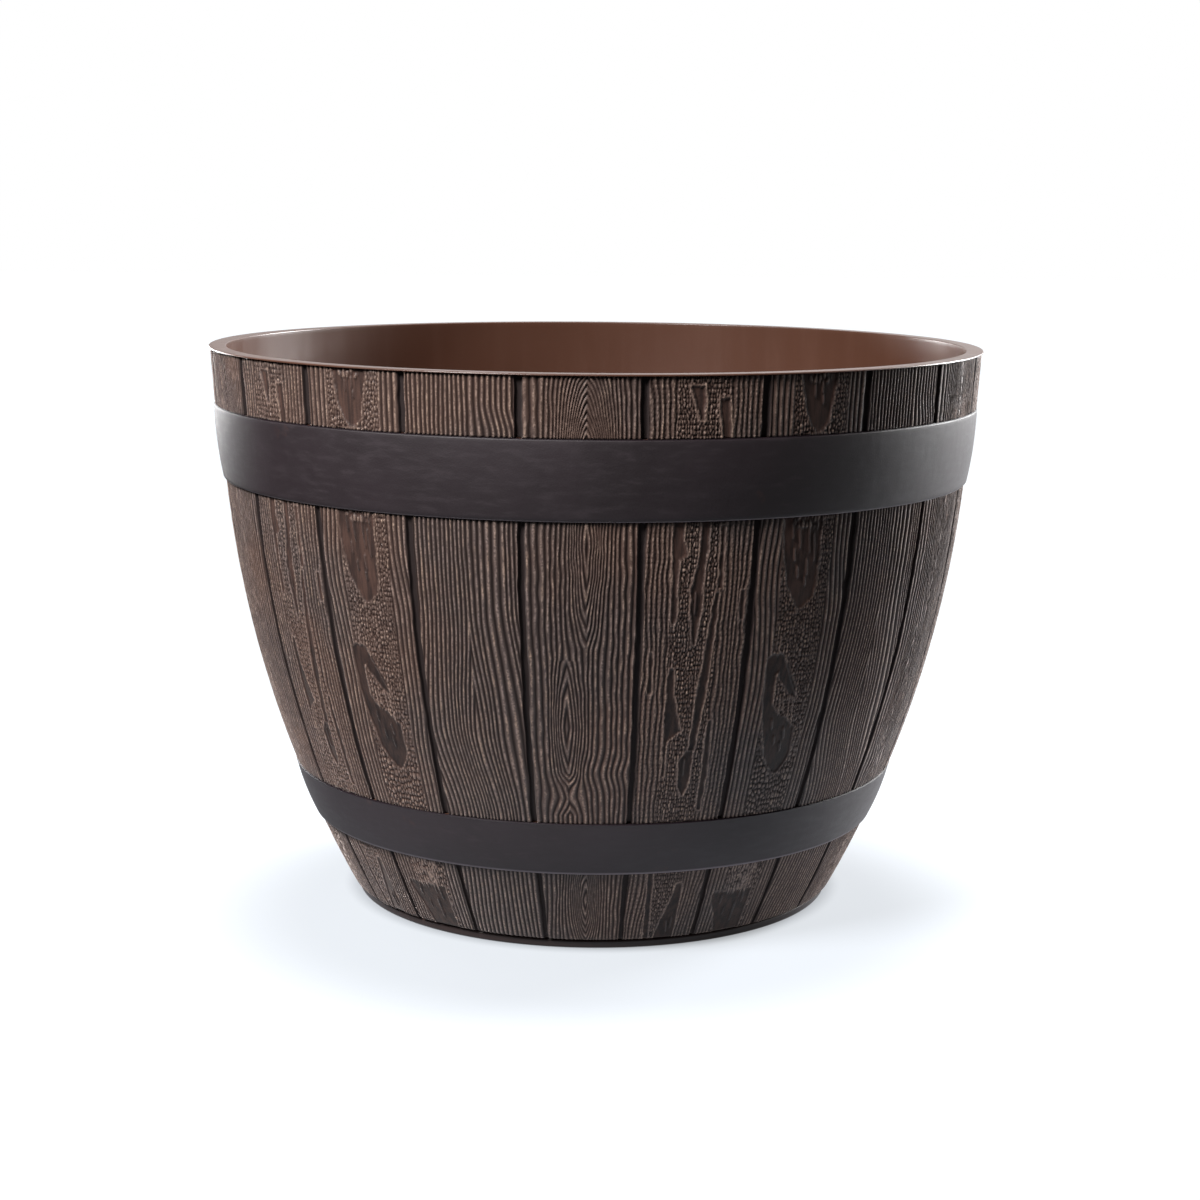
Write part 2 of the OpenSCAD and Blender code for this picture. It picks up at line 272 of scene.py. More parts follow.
def arched_face(x, z):
    """Ridges round pointed ovals, one above the other, with arches in the collar"""
    across = x + 0.7 * noise(x / 9, z / 24, 41) + 0.4 * noise(x / 3, z / 8, 42)
    across = across + 2.0 * np.exp(-(((z - 97) / 7) ** 2)) * smoothstep(-3, 2, x)
    across = across + 2.6 * smoothstep(44, 8, z) * smoothstep(-4, -14, x)
    ridges = [-29, -26, -22.7, -19.4, -16.1, -13.8, -11.5, -9.2, -6.3, -3.0, -0.6]
    ridges = ridges + [2.3, 4.4, 6.9, 9.7, 13.0, 15.5, 18.0, 20.6, 23.2, 26, 29]
    phase = np.interp(across, ridges, np.arange(len(ridges)) - 11.0)
    upper = np.abs(phase) - 4.6 * oval(across, z, 2.3, 204, 4.6, 60, 46)
    upper = upper - 9.5 * oval(x, z, 2.6, 246, 6.2, 42, 28)
    upper = upper - 6.2 * oval(x, z, 1.2, 29, 5.2, 28, 28)
    lower = np.abs(phase + 3) - 2.9 * oval(across, z, -6.6, 120, 4.0, 34, 30)
    lower = lower + 1.8 * oval(x, z, -7.6, 84, 5.0, 13, 9)
    height = ridge(np.where((z > 152) | (z < 60), upper, lower), 0.55)
    return height * (0.86 + 0.14 * noise(x / 1.2, z / 2.2, 43)), np.zeros(np.shape(x))


def rough_face(x, z):
    """Rough, broken ridges with narrow smooth patches strung out between them"""
    drift = 0.9 * noise(x / 7, z / 26, 51) + 0.5 * noise(x / 3, z / 8, 52)
    lines = ridge((x + drift + 2.4 * smoothstep(42, 8, z)) / 2.3, 0.8)
    grains = pebbles((x + 0.5 * drift) / 1.25, z / 2.3, 53)
    middle = smoothstep(-12.5, -11, x) * smoothstep(10.5, 9, x)
    lines = lines * (0.7 + 0.3 * grains) + 0.25 * grains * (1 - lines)
    height = lines + (grains * (0.6 + 0.4 * lines) - lines) * middle
    patches = [
        [
            (222, -11.6, -8), (208, -11.6, -7.6), (201, -11.6, -5.5), (198.8, -11, -9.2),
            (171, -10.9, -9.6), (169, -10.2, -10),
        ],
        [
            (222, 0.4, 3.6), (204, 0.4, 3.2), (196, -0.2, 1.8), (187, -2.6, 1.8),
            (174, -2.4, 1.6), (160, -0.8, -0.4),
        ],
        [
            (183, 8.2, 9.2), (171, 6.8, 8.7), (153, 5.2, 7.8), (137, 3.6, 6.8),
            (121, 3, 5.5), (108, 2, 4.2),
        ],
        [
            (148, -10.2, -9), (137, -10.8, -8.4), (127, -10.8, -6.3), (117.6, -10.6, -3.4),
            (113, -10.6, -9.4), (95, -10.2, -9.4),
        ],
        [(107, 0.6, 3.8), (102, -2.2, 3.6), (94, -1.8, 3.6), (89, -0.8, 3), (84.6, 0.8, 1.4)],
        [(184, 19.6, 21), (171, 20, 21)],
        [(122, 10.4, 11.6), (98, 10.4, 12.4), (77, 10.6, 11.8)],
        [(156, -19.6, -18.9), (137, -19.8, -18.6)],
        [(214, 9.2, 10), (186, 9.2, 10.2)],
        [(276.5, -6.4, -1.6), (270, -4.6, -1), (262, -2.4, -1.2)],
        [(271, 5.8, 9), (262, 6.4, 9.8), (250, 7.4, 10.4)],
        [(46, -11.8, -9.4), (24, -10.8, -8.4), (2, -9.6, -7)],
        [(36, 6.5, 9.5), (30, 5.8, 9.6), (24, 3.5, 9.8), (15, 0.2, 9.8), (6, -2.5, 9.8), (0, -3, 9.8)],
    ]
    height, smooth = with_patches(height, x, z, patches, 0.95, 54)
    strokes = [
        (-0.9, 174.4, -0.9, 183.5, 0.4), (0.6, 95, 0.5, 103.4, 0.4), (5.2, 9, 4.4, 15, 0.5),
        (7.4, 11, 7.6, 17, 0.5),
    ]
    return with_strokes(height, x, z, strokes), smooth


FACES = [knotted_face, straight_face, arched_face, rough_face]

# Meshes


def grid_mesh(name, radius, angle, height, shares, strips=1, sharp=35, values=None):
    """A closed ring: rows run round its section and columns round the barrel, both back to the start.

    Radius, angle and height are arrays of rows by columns. Shares are how much of the map each row
    of faces gets, and strips are how many strips the map is cut into.
    """
    rows, columns = radius.shape
    at = np.stack([radius * np.cos(angle), radius * np.sin(angle), height], -1) / 1000
    p, c = np.meshgrid(np.arange(rows), np.arange(columns), indexing="ij")
    p2, c2 = (p + 1) % rows, (c + 1) % columns
    corners = np.stack([p * columns + c, p * columns + c2, p2 * columns + c2, p2 * columns + c], -1)
    mesh = bpy.data.meshes.new(name)
    mesh.vertices.add(rows * columns)
    mesh.vertices.foreach_set("co", at.astype(np.float32).ravel())
    mesh.loops.add(rows * columns * 4)
    mesh.loops.foreach_set("vertex_index", corners.astype(np.int32).ravel())
    mesh.polygons.add(rows * columns)
    mesh.polygons.foreach_set("loop_start", np.arange(rows * columns, dtype=np.int32) * 4)
    mesh.update(calc_edges=True)
    ends = np.concatenate([[0], np.cumsum(shares)]) / np.sum(shares)
    per = math.ceil(columns / strips)
    strip = c // per
    left, right = (c - strip * per) / per, (c - strip * per + 1) / per
    # Empty margins of the map, between its strips and along its sides
    between, border = 0.006, 0.002
    low = (strip + between + (1 - 2 * between) * ends[p]) / strips
    high = (strip + between + (1 - 2 * between) * ends[p + 1]) / strips
    uv = np.stack([left, low, right, low, right, high, left, high], -1) * (1 - 2 * border) + border
    mesh.uv_layers.new(name="OFBake").data.foreach_set("uv", uv.astype(np.float32).ravel())
    for key, field in (values or {}).items():
        layer = mesh.attributes.new(key, "FLOAT", "POINT")
        layer.data.foreach_set("value", field.astype(np.float32).ravel())
    mesh.shade_smooth()
    if sharp:
        mesh.set_sharp_from_angle(angle=math.radians(sharp))
    piece = bpy.data.objects.new(name, mesh)
    bpy.context.scene.collection.objects.link(piece)
    return piece


# Columns of vertices over one stave, from the middle of a gap on, and how its edge drops into a gap
FLAT = np.linspace(-23.1, 23.1, 144)
EDGE = np.array([23.4, 23.62, 23.82, 24.0, 24.5])
COLUMN_X = np.concatenate([[-HALF_STAVE], -EDGE[::-1], FLAT, EDGE])
DROP_X = [23.0, 23.4, 23.62, 23.82, 24.0]
DROP = [0, 0.3, 1.0, 1.6, GAP_DEPTH]

# How far the lower ends of the toes are rounded in, at heights above the foot
TOE_END_Z, TOE_END = [0, 0.5, 1.2], [0.7, 0.2, 0]


def stave_ring(name, z, face_r, toe=False):
    """One ring of grained staves, with the gaps between them"""
    x, zz = np.meshgrid(COLUMN_X, z)
    drop = np.interp(np.abs(x), DROP_X, DROP)
    flat = smoothstep(23.6, 23.2, np.abs(x))
    fields = []
    for index, face in enumerate(FACES):
        height, smooth = face(x, zz)
        height = height * flat + 0.5 * (1 - flat)
        sink = np.maximum(GRAIN_DEPTH * (1 - height), drop)
        sink = np.where(np.abs(x) > 23.55, drop, sink)
        if toe:
            sink = sink + np.interp(zz - FOOT_H, TOE_END_Z, TOE_END)
        # The edges of a stave waver, each side in its own way
        right = x > 0
        short = noise(zz / 5.5 + 20 * right, zz * 0, 60 + index)
        waver = short + noise(zz / 24 + 9 * right, zz * 0, 65 + index)
        side = np.sign(x) * smoothstep(22.0, 23.0, np.abs(x)) * smoothstep(24.9, 23.7, np.abs(x))
        fields.append((sink, x + side * 0.24 * waver, height * flat, smooth * flat, 1 - flat))

    # The designs come in turn, counted both ways from the gap at the front, and meet at the back
    counts = [k if k < STAVES // 2 else k - STAVES for k in range(STAVES)]
    order = [(count + 3) % len(FACES) for count in counts]
    rows = (np.concatenate([fields[k][i] for k in order], 1) for i in range(5))
    sink, across, grain, patch, gap = rows
    stave = np.repeat(np.arange(STAVES), len(COLUMN_X)) + 0.5
    angle = np.radians(GAP_TURN + (stave + across / (2 * HALF_STAVE)) * 360 / STAVES)

    # The back follows the bow of the face, and so stays within the wall
    back_rows = 5
    back_z = np.linspace(z[-1], z[0], back_rows)
    columns = angle.shape[1]
    back = np.repeat(face_r(back_z)[:, None] - STAVE_BACK, columns, 1)
    radius = np.concatenate([face_r(z)[:, None] - sink, back])
    height = np.repeat(np.concatenate([z, back_z])[:, None], columns, 1)

    def all_round(field):
        return np.concatenate([field] + [field[-1:]] * (back_rows - 1) + [field[:1]])

    values = {"grain": all_round(grain), "patch": all_round(patch), "gap": all_round(gap)}
    back_share = 0.01 * (z[-1] - z[0])
    shares = np.concatenate([np.diff(z), [back_share] * (back_rows + 1)])
    strips = 3 if len(z) > 100 else 6
    return grid_mesh(name, radius, all_round(angle), height, shares, strips, 0, values)


def lathe(name, section, columns, strips=1, sharp=35, ripple=None):
    """A closed ring from a section of points (r, z), counter-clockwise seen with r to the right"""
    section = np.array(section, float)
    angle = np.radians(np.arange(columns) * 360 / columns)
    radius = np.repeat(section[:, :1], columns, 1)
    height = np.repeat(section[:, 1:], columns, 1)
    if ripple is not None:
        radius = radius + ripple(section[:, :1], section[:, 1:], angle[None, :])
    step = np.hypot(*(np.roll(section, -1, 0) - section).T)
    around = np.repeat(angle[None, :], len(section), 0)
    return grid_mesh(name, radius, around, height, step, strips, sharp)


def rounded(centre, start, end, radius, steps=6):
    """Points round a corner, from one direction to another in degrees"""
    turns = np.radians(np.linspace(start, end, steps + 1))
    return [(centre[0] + radius * math.cos(t), centre[1] + radius * math.sin(t)) for t in turns]


def solid(name, mesh):
    piece = bpy.data.objects.new(name, mesh)
    bpy.context.scene.collection.objects.link(piece)
    return piece


def shell(name, section):
    """A plain closed solid of revolution about the origin, whose section starts and ends on the axis"""
    columns = 96
    vertices, faces = [], []
    for r, z in section:
        if r == 0:
            vertices.append((0, 0, z / 1000))
        else:
            for k in range(columns):
                t = 2 * math.pi * k / columns
                vertices.append((r * math.cos(t) / 1000, r * math.sin(t) / 1000, z / 1000))
    start = 1
    for k in range(columns):
        faces.append((0, 1 + (k + 1) % columns, 1 + k))
    for _ in range(len(section) - 3):
        for k in range(columns):
            nxt = (k + 1) % columns
            faces.append((start + k, start + nxt, start + columns + nxt, start + columns + k))
        start += columns
    last = len(vertices) - 1
    for k in range(columns):
        faces.append((start + k, start + (k + 1) % columns, last))
    mesh = bpy.data.meshes.new(name)
    mesh.from_pydata(vertices, [], faces)
    mesh.update()
    return solid(name, mesh)


def block(name, size, centre):
    """A box, for use in a boolean"""
    w, d, h = (s / 2000 for s in size)
    vertices = [(x * w, y * d, z * h) for x in (-1, 1) for y in (-1, 1) for z in (-1, 1)]
    faces = [(0, 1, 3, 2), (4, 6, 7, 5), (0, 4, 5, 1), (2, 3, 7, 6), (0, 2, 6, 4), (1, 5, 7, 3)]
    mesh = bpy.data.meshes.new(name)
    mesh.from_pydata([tuple(v[i] + centre[i] / 1000 for i in range(3)) for v in vertices], [], faces)
    mesh.update()
    return solid(name, mesh)


def combine(piece, tool, operation):
    """Joins the tool to the piece or cuts it out, and removes the tool"""
    step = piece.modifiers.new("combine", "BOOLEAN")
    step.operation = operation
    step.solver = "EXACT"
    step.object = tool
    apply_modifiers(piece)
    bpy.data.objects.remove(tool)


def apply_modifiers(piece):
    graph = bpy.context.evaluated_depsgraph_get()
    mesh = bpy.data.meshes.new_from_object(piece.evaluated_get(graph))
    piece.modifiers.clear()
    piece.data = mesh


def cylinder(name, r, z0, z1, at=(0, 0)):
    tool = shell(name, [(0, z0), (r, z0), (r, z1), (0, z1)])
    tool.data.transform(Matrix.Translation((at[0] / 1000, at[1] / 1000, 0)))
    return tool


# The barrel


def barrel_wall():
    """Rim, inside, foot and what lies behind the staves, as one ring"""
    hollow_r = FOOT_R - FOOT_W
    bead_round, bead_z, groove_depth, groove_z = 1.3, 3.0, 1.4, 4.6
    foot = rounded((FOOT_R - FOOT_ROUND, FOOT_ROUND), -90, 0, FOOT_ROUND)
    foot = foot + rounded((FOOT_R - bead_round, bead_z), 0, 75, bead_round)
    groove = [(FOOT_R - groove_depth, z) for z in (groove_z, FOOT_H + 0.3)]
    inner_foot = rounded((hollow_r + FOOT_ROUND, FOOT_ROUND), 180, 270, FOOT_ROUND)
    toes = [(arc_r(STAVE_ARC, z) - SKIN, z) for z in np.linspace(FOOT_H + 0.6, LOWER_HOOP_Z, 8)]
    low = [(arc_r(LOWER_SEAT, z), z) for z in np.linspace(LOWER_HOOP_Z + 0.2, LOWER_TOP_Z - 0.2, 8)]
    belly = [(arc_r(STAVE_ARC, z) - SKIN, z) for z in np.linspace(LOWER_TOP_Z, HOOP_Z, 30)]
    high = [(arc_r(UPPER_SEAT, z), z) for z in np.linspace(HOOP_Z + 0.2, COLLAR_Z - 0.2, 8)]
    collar = [(collar_r(z) - SKIN, z) for z in (COLLAR_Z, BEAD_Z)]
    bead = [(RIM_R - 0.3, BEAD_Z), (RIM_R - 0.08, BEAD_Z + 0.06), (RIM_R, BEAD_Z + 0.15)]
    rim = rounded((RIM_R - RIM_ROUND, BARREL_H - RIM_ROUND), 0, 90, RIM_ROUND)
    inner_r = RIM_R - RIM_W
    rim = rim + rounded((inner_r + RIM_ROUND, BARREL_H - RIM_ROUND), 90, 180, RIM_ROUND)
    fillet_z = FLOOR_Z + FILLET
    fillet_r = arc_r((INNER_ARC[0], INNER_ARC[1], INNER_ARC[2] - FILLET), fillet_z)
    tilt = math.degrees(math.atan2(fillet_z - INNER_ARC[1], fillet_r - INNER_ARC[0]))
    top = fillet_z + FILLET * math.sin(math.radians(tilt))
    inside = [(arc_r(INNER_ARC, z), z) for z in np.linspace(BARREL_H - 2.4, top, 60)][:-1]
    corner = rounded((fillet_r, fillet_z), tilt, -90, FILLET, 16)
    plate = [(PLATE_R, FLOOR_Z), (PLATE_R, HOLLOW_H), (hollow_r, HOLLOW_H)]
    section = foot + groove + toes + low + belly + high + collar + bead + rim
    section = section + inside + corner + plate + inner_foot
    return lathe("barrel_wall", section, 720, 2)


# Points of a hoop's rounded edges: how far they lie in from its face, and how far from its end
LOW_EDGE = [(0.7, 0), (0.4, 0.12), (0.12, 0.42)]
HIGH_EDGE = [(0.06, 0.6), (0.25, 0.3), (0.6, 0)]


def hoop(name, seat, z0, z1, seed):
    """A bowed band on its seat, with rounded edges and a face that isn't perfectly even"""
    top = z1 - HOOP_GAP
    face = [(arc_r(seat, z) + HOOP_T, z) for z in np.linspace(z0 + 0.8, top - 0.9, 26)]
    back = [(arc_r(seat, z) + HOOP_GAP, z) for z in np.linspace(top, z0, 6)]
    outer = arc_r(seat, z0) + HOOP_T
    low = [(outer - inwards, z0 + up) for inwards, up in LOW_EDGE]
    outer = arc_r(seat, top) + HOOP_T
    high = [(outer - inwards, top - down) for inwards, down in HIGH_EDGE]

    def ripple(r, z, angle):
        mask = (r > arc_r(seat, z) + 0.6 * HOOP_T).astype(float)
        slow = noise(angle * 9 + 40, z / 14, seed) * 0.07
        fast = noise(angle * 60 + 400, z / 5, seed + 1) * 0.025
        return mask * (slow + fast)

    return lathe(name, low + face + high + back, 1440, 3, 35, ripple)


def barrel_floor():
    """The floor's plate with its ribs, collars, drain holes and the recesses round them"""
    floor = cylinder("barrel_floor", PLATE_R, HOLLOW_H, FLOOR_Z)
    # A bar makes two ribs. It reaches 4 mm into the foot ring at each end and 1 mm into the plate.
    bar_l, bar_h = 2 * (FOOT_R - FOOT_W + 4), RIB_H + 1
    turn = 360 / RIB_COUNT
    for i in range(RIB_COUNT // 2):
        rib = block("rib", (bar_l, RIB_T, bar_h), (0, 0, HOLLOW_H - RIB_H + bar_h / 2))
        rib.data.transform(Matrix.Rotation(math.radians(turn / 2 + turn * i), 4, "Z"))
        combine(floor, rib, "UNION")
    outer, low, over = DRAIN_R + DRAIN_COLLAR_W, HOLLOW_H - DRAIN_COLLAR_H, FLOOR_Z + 1
    for place in DRAINS:
        combine(floor, cylinder("collar", outer, low, HOLLOW_H + 1, place), "UNION")
    for place in DRAINS:
        combine(floor, cylinder("bore", DRAIN_R, -1, over, place), "DIFFERENCE")
        combine(floor, cylinder("recess", DRAIN_R + RECESS_W, HEAD_Z, over, place), "DIFFERENCE")
    soften(floor, 0.25)
    return floor


def soften(piece, width, segments=2):
    """Bevels the sharp edges of a piece and shades it smoothly"""
    step = piece.modifiers.new("edges", "BEVEL")
    step.width = width / 1000
    step.segments = segments
    step.limit_method = "ANGLE"
    step.angle_limit = math.radians(40)
    step.harden_normals = False
    apply_modifiers(piece)
    piece.data.shade_smooth()
    piece.data.set_sharp_from_angle(angle=math.radians(38))


def plug_mesh():
    """A push-in plug about the origin: hollow stem, round head and finger grip"""
    head_top, head_round, tip = HEAD_Z + HEAD_T, 1.2, 0.6
    section = [(0, HEAD_Z), (STEM_BORE_R, HEAD_Z)]
    section = section + [(STEM_BORE_R, STEM_Z + 0.3), (STEM_BORE_R + 0.3, STEM_Z)]
    section = section + [(STEM_R - tip, STEM_Z), (STEM_R, STEM_Z + tip), (STEM_R, HEAD_Z)]
    section = section + [(HEAD_R - 0.2, HEAD_Z), (HEAD_R, HEAD_Z + 0.2)]
    section = section + rounded((HEAD_R - head_round, head_top - head_round), 0, 90, head_round)
    plug = shell("plug", section + [(0, head_top)])

    # The grip is a plate with rounded upper corners, which reaches 1 mm into the head
    half_l, half_t, corner_z, corner = 7.5, 1.5, 3, 3
    outline = [(-half_l, -1), (half_l, -1)]
    outline = outline + rounded((half_l - corner, corner_z), 0, 90, corner, 9)
    outline = outline + rounded((corner - half_l, corner_z), 90, 180, corner, 9)
    count = len(outline)
    sides = (-half_t, half_t)
    vertices = [(x / 1000, y / 1000, (head_top + z) / 1000) for y in sides for x, z in outline]
    faces = [tuple(range(count)), tuple(range(2 * count - 1, count - 1, -1))]
    faces = faces + [((k + 1) % count, k, count + k, count + (k + 1) % count) for k in range(count)]
    mesh = bpy.data.meshes.new("grip")
    mesh.from_pydata(vertices, [], faces)
    mesh.update()
    grip = solid("grip", mesh)
    soften(grip, 0.7, 3)
    combine(plug, grip, "UNION")
    mesh = plug.data
    mesh.shade_smooth()
    mesh.set_sharp_from_angle(angle=math.radians(30))
    bpy.data.objects.remove(plug)
    return mesh


# Materials


def linear(red, green, blue):
    """A colour as written in 0 to 255, in linear light"""

    def one(value):
        value = value / 255
        return value / 12.92 if value <= 0.04045 else ((value + 0.055) / 1.055) ** 2.4

    return (one(red), one(green), one(blue), 1.0)


class Paint:
    """A material and short ways to add nodes to it"""

    def __init__(self, name):
        self.material = bpy.data.materials.new(name)
        self.material.use_nodes = True
        self.tree = self.material.node_tree
        self.tree.nodes.clear()
        self.shader = self.add("ShaderNodeBsdfPrincipled")
        self.shader.inputs["Specular IOR Level"].default_value = 0.6
        self.out = self.add("ShaderNodeOutputMaterial")
        self.link(self.shader.outputs[0], self.out.inputs["Surface"])
        self.place = self.add("ShaderNodeTexCoord").outputs["Object"]

    def add(self, kind, **settings):
        node = self.tree.nodes.new(kind)
        for key, value in settings.items():
            setattr(node, key, value)
        return node

    def link(self, source, target):
        self.tree.links.new(source, target)

    def feed(self, socket, value):
        if isinstance(value, bpy.types.NodeSocket):
            self.link(value, socket)
        else:
            socket.default_value = value

    def noise(self, scale, detail=4, rough=0.55, stretch=(1, 1, 1)):
        """Noise from 0 to 1 with features 1/scale metres apart, longer along an axis of small stretch"""
        mapping = self.add("ShaderNodeMapping")
        self.link(self.place, mapping.inputs["Vector"])
        mapping.inputs["Scale"].default_value = stretch
        node = self.add("ShaderNodeTexNoise")
        self.link(mapping.outputs[0], node.inputs["Vector"])
        node.inputs["Scale"].default_value = scale
        node.inputs["Detail"].default_value = detail
        node.inputs["Roughness"].default_value = rough
        return node.outputs["Fac"]

    def value(self, name):
        return self.add("ShaderNodeAttribute", attribute_name=name).outputs["Fac"]

    def ramp(self, source, low, high, to_low=0.0, to_high=1.0):
        """Source from low to high becomes to_low to to_high, and stays there outside"""
        node = self.add("ShaderNodeMapRange", interpolation_type="SMOOTHSTEP")
        self.link(source, node.inputs["Value"])
        ends = {"From Min": low, "From Max": high, "To Min": to_low, "To Max": to_high}
        for key, value in ends.items():
            node.inputs[key].default_value = value
        return node.outputs[0]

    def mix(self, share, a, b):
        node = self.add("ShaderNodeMix", data_type="RGBA")
        self.feed(node.inputs[0], share)
        self.feed(node.inputs[6], a)
        self.feed(node.inputs[7], b)
        return node.outputs[2]

    def math(self, operation, a, b=0.0):
        node = self.add("ShaderNodeMath", operation=operation)
        self.feed(node.inputs[0], a)
        self.feed(node.inputs[1], b)
        return node.outputs[0]

    def bump(self, height, distance, strength=1.0):
        node = self.add("ShaderNodeBump")
        self.link(height, node.inputs["Height"])
        node.inputs["Distance"].default_value = distance
        node.inputs["Strength"].default_value = strength
        self.link(node.outputs[0], self.shader.inputs["Normal"])

    def finish(self, colour, rough):
        self.feed(self.shader.inputs["Base Color"], colour)
        self.feed(self.shader.inputs["Roughness"], rough)
        return self.material


def stave_paint():
    """Wood grain: dark grooves, light worn crests, smooth darker patches and plain gaps"""
    paint = Paint("stave_grain")
    grain, patch, gap = (paint.value(name) for name in ("grain", "patch", "gap"))
    cloud = paint.noise(14, 3, 0.5)
    streak = paint.noise(420, 3, 0.6, (1, 1, 0.06))
    speck = paint.noise(950, 3, 0.65)
    crest = paint.mix(paint.ramp(cloud, 0.35, 0.65), linear(158, 137, 130), linear(172, 143, 129))
    crest = paint.mix(paint.ramp(streak, 0.42, 0.72), crest, linear(199, 168, 147))
    middle = paint.mix(paint.ramp(cloud, 0.4, 0.62), linear(74, 58, 53), linear(87, 63, 53))
    crest = paint.mix(paint.ramp(speck, 0.6, 0.38, 0, 0.8), crest, middle)
    valley = paint.mix(paint.ramp(cloud, 0.4, 0.62), linear(38, 26, 23), linear(48, 31, 26))
    colour = paint.mix(paint.ramp(grain, 0.12, 0.55), valley, middle)
    colour = paint.mix(paint.ramp(grain, 0.6, 1.0), colour, crest)
    # The patches are darker low down
    height = paint.add("ShaderNodeSeparateXYZ")
    paint.link(paint.place, height.inputs[0])
    low_tongue = paint.mix(paint.ramp(streak, 0.35, 0.65), linear(46, 36, 34), linear(72, 54, 48))
    high_tongue = paint.mix(paint.ramp(streak, 0.35, 0.65), linear(64, 49, 45), linear(94, 70, 62))
    tongue = paint.mix(paint.ramp(height.outputs["Z"], 0.13, 0.19), low_tongue, high_tongue)
    colour = paint.mix(patch, colour, tongue)
    colour = paint.mix(gap, colour, linear(52, 43, 42))
    rough = paint.ramp(patch, 0, 1, 0.56, 0.5)
    gloss = paint.math("MULTIPLY", paint.ramp(grain, 0.1, 0.7, 0.45, 1.0), paint.ramp(gap, 0, 1, 1, 0.5))
    gloss = paint.math("MULTIPLY", gloss, paint.ramp(patch, 0, 1, 1, 0.8))
    paint.link(gloss, paint.shader.inputs["Specular IOR Level"])
    paint.shader.inputs["Sheen Weight"].default_value = 0.6
    paint.shader.inputs["Sheen Roughness"].default_value = 0.3
    paint.shader.inputs["Sheen Tint"].default_value = linear(255, 236, 228)
    paint.bump(speck, 0.0003, 0.5)
    return paint.finish(colour, rough)


def inside_paint():
    """Satin brown of the rim and the inside, darker at the foot"""
    paint = Paint("shell_satin")
    cloud = paint.noise(9, 3, 0.5)
    flow = paint.noise(60, 4, 0.6, (1, 1, 0.12))
    colour = paint.mix(paint.ramp(cloud, 0.35, 0.65), linear(89, 58, 45), linear(95, 63, 50))
    colour = paint.mix(paint.ramp(flow, 0.45, 0.8, 0, 0.5), colour, linear(102, 70, 57))
    rough = paint.ramp(flow, 0.3, 0.7, 0.3, 0.35)
    height = paint.add("ShaderNodeSeparateXYZ")
    paint.link(paint.place, height.inputs[0])
    base = paint.ramp(height.outputs["Z"], 0.0075, 0.0055)
    colour = paint.mix(base, colour, linear(52, 38, 35))
    paint.bump(paint.noise(1800, 3, 0.55), 0.00008, 0.4)
    return paint.finish(colour, rough)


def hoop_paint():
    """Charcoal with a faint brushed sheen. Upper edges are dull and dark with painted shade, and lower
    lips are pale with a painted highlight.
    """
    paint = Paint("hoop_charcoal")
    cloud = paint.noise(16, 4, 0.6)
    brush = paint.noise(300, 3, 0.6, (0.25, 0.25, 1))
    wear = paint.noise(38, 4, 0.62)
    colour = paint.mix(paint.ramp(cloud, 0.35, 0.65), linear(43, 33, 37), linear(50, 39, 44))
    colour = paint.mix(paint.ramp(brush, 0.5, 0.75), colour, linear(56, 45, 50))
    colour = paint.mix(paint.ramp(wear, 0.66, 0.74, 0, 0.55), colour, linear(72, 48, 44))
    rough = paint.ramp(brush, 0.3, 0.7, 0.54, 0.62)
    facing = paint.add("ShaderNodeSeparateXYZ")
    paint.link(paint.add("ShaderNodeNewGeometry").outputs["Normal"], facing.inputs[0])
    # Painted shade: faces that point upwards are coloured darker, and made less glossy
    up = paint.ramp(facing.outputs["Z"], 0.2, 0.7)
    colour = paint.mix(up, colour, linear(34, 25, 30))
    # Painted highlight: downward-facing lower lips are coloured pale to show a light line
    colour = paint.mix(paint.ramp(facing.outputs["Z"], -0.5, -0.68), colour, linear(128, 116, 122))
    paint.link(paint.ramp(up, 0, 1, 0.8, 0.1), paint.shader.inputs["Specular IOR Level"])
    paint.bump(paint.noise(1300, 3, 0.6), 0.00012, 0.5)
    return paint.finish(colour, rough)


def rubber_paint():
    paint = Paint("plug_rubber")
    cloud = paint.noise(160, 3, 0.6)
    colour = paint.mix(paint.ramp(cloud, 0.35, 0.7), linear(34, 34, 36), linear(46, 45, 47))
    paint.bump(paint.noise(2200, 2, 0.5), 0.0001, 0.4)
    return paint.finish(colour, 0.7)


# Assembly


def settle(piece, body, slot, paint, *nodes):
    """Gives a piece its material, the body it rides and the CAD nodes that it stands for, which it
    hides. The slot is not used.
    """
    piece.data.materials.clear()
    piece.data.materials.append(paint)
    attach(piece, body)
    if nodes:
        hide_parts(*nodes)


grain_paint, satin, charcoal, rubber = stave_paint(), inside_paint(), hoop_paint(), rubber_paint()

belly_z = np.linspace(LOWER_TOP_Z, HOOP_Z, 184)
collar_z = np.linspace(COLLAR_Z, BEAD_Z, 36)
toe_z = np.concatenate([FOOT_H + np.array(TOE_END_Z), np.linspace(FOOT_H + 2, LOWER_HOOP_Z, 46)])
rings = [
    stave_ring("stave_belly", belly_z, lambda z: arc_r(STAVE_ARC, z)),
    stave_ring("stave_collar", collar_z, collar_r),
    stave_ring("stave_toes", toe_z, lambda z: arc_r(STAVE_ARC, z), toe=True),
]
for ring in rings:
    settle(ring, "barrel", "stave_plastic", grain_paint, "barrel_shell")
settle(barrel_wall(), "barrel", "stave_plastic", satin, "barrel_shell")
settle(barrel_floor(), "barrel", "stave_plastic", satin, "barrel_shell")
upper = hoop("hoop_upper", UPPER_SEAT, HOOP_Z, COLLAR_Z, 71)
lower = hoop("hoop_lower", LOWER_SEAT, LOWER_HOOP_Z, LOWER_TOP_Z, 81)
settle(upper, "barrel", "hoop_plastic", charcoal, "upper_hoop")
settle(lower, "barrel", "hoop_plastic", charcoal, "lower_hoop")

